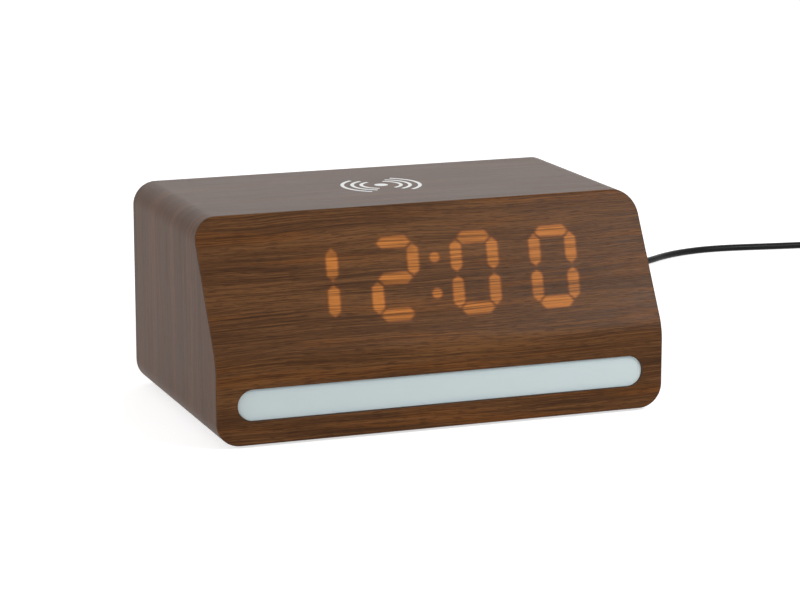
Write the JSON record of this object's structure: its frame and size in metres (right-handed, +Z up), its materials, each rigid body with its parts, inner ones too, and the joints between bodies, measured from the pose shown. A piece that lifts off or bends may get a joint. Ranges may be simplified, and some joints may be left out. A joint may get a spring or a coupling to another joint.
{
  "type": "digital alarm clock",
  "caption": "Wood-grain bedside alarm clock with a sloping seven-segment display, a light bar along the foot, a charging top, rear buttons and a power cord.",
  "frame": {"origin": "on the table, under the middle of the clock's case, without its cord", "axes": "+X to the clock's left seen from behind and to the viewer's right seen from the front, +Y towards the back, +Z up"},
  "size_m": [0.4424, 0.2734, 0.0822],
  "materials": {
    "walnut_wrap": "satin wood-grain wrap over board",
    "lit_amber_acrylic": "diffuse, lit from behind",
    "milky_acrylic": "satin milky diffuser",
    "white_plastic": "matt moulded",
    "black_plastic": "fine-textured moulded ABS",
    "black_vinyl": "satin flexible vinyl",
    "black_rubber": "matt rubber",
    "circuit_board": "solder mask over glass laminate",
    "enamelled_copper": "enamelled copper wire",
    "ferrite": "matt sintered ferrite",
    "nickel_steel": "nickel-plated"
  },
  "bodies": {
    "case": {"case_shell": "walnut_wrap", "front_panel": "walnut_wrap", "digit_1": "lit_amber_acrylic", "digit_2": "lit_amber_acrylic", "digit_3": "lit_amber_acrylic", "digit_4": "lit_amber_acrylic", "colon_guide": "lit_amber_acrylic", "display_reflector": "white_plastic", "display_board": "circuit_board", "light_bar_lens": "milky_acrylic", "light_bar_trough": "white_plastic", "light_bar_board": "circuit_board", "charging_coil": "enamelled_copper", "ferrite_sheet": "ferrite", "charger_tray": "black_plastic", "charger_board": "circuit_board", "tray_screw_1": "nickel_steel", "tray_screw_2": "nickel_steel", "rear_cover": "black_plastic", "rear_screw_1": "nickel_steel", "rear_screw_2": "nickel_steel", "rear_screw_3": "nickel_steel", "rear_screw_4": "nickel_steel", "switch_1": "black_plastic", "switch_2": "black_plastic", "switch_3": "black_plastic", "switch_4": "black_plastic", "switch_5": "black_plastic", "control_board": "circuit_board", "buzzer": "black_plastic", "coin_cell": "nickel_steel", "battery_contact": "nickel_steel", "power_socket": "black_plastic", "plug_barrel": "nickel_steel", "plug_grip": "black_vinyl", "cord": "black_vinyl", "cord_coil": "black_vinyl", "usb_grip": "black_vinyl", "usb_shell": "nickel_steel", "usb_tongue": "white_plastic", "display_lead": "black_vinyl", "lamp_lead": "black_vinyl", "charger_lead": "black_vinyl", "foot_1": "black_rubber", "foot_2": "black_rubber", "foot_3": "black_rubber", "foot_4": "black_rubber"},
    "mode_key": {"button_mode": "black_plastic"},
    "alarm_key": {"button_alarm": "black_plastic"},
    "up_key": {"button_up": "black_plastic"},
    "down_key": {"button_down": "black_plastic"},
    "light_key": {"button_light": "black_plastic"},
    "battery_lid": {"battery_cover": "black_plastic"}
  },
  "joints": [
    {"name": "mode_press", "type": "slide", "parent": "case", "child": "mode_key", "axis": [0, -1, 0], "range_m": [0, 0.0008], "stiffness_N_per_m": 1200},
    {"name": "alarm_press", "type": "slide", "parent": "case", "child": "alarm_key", "axis": [0, -1, 0], "range_m": [0, 0.0008], "stiffness_N_per_m": 1200},
    {"name": "up_press", "type": "slide", "parent": "case", "child": "up_key", "axis": [0, -1, 0], "range_m": [0, 0.0008], "stiffness_N_per_m": 1200},
    {"name": "down_press", "type": "slide", "parent": "case", "child": "down_key", "axis": [0, -1, 0], "range_m": [0, 0.0008], "stiffness_N_per_m": 1200},
    {"name": "light_press", "type": "slide", "parent": "case", "child": "light_key", "axis": [0, -1, 0], "range_m": [0, 0.0008], "stiffness_N_per_m": 1200},
    {"name": "battery_lid_turn", "type": "hinge", "parent": "case", "child": "battery_lid", "pos_m": [-0.04, 0.0535, 0.0224], "axis": [0, 1, 0], "range_deg": [0, 30]}
  ]
}
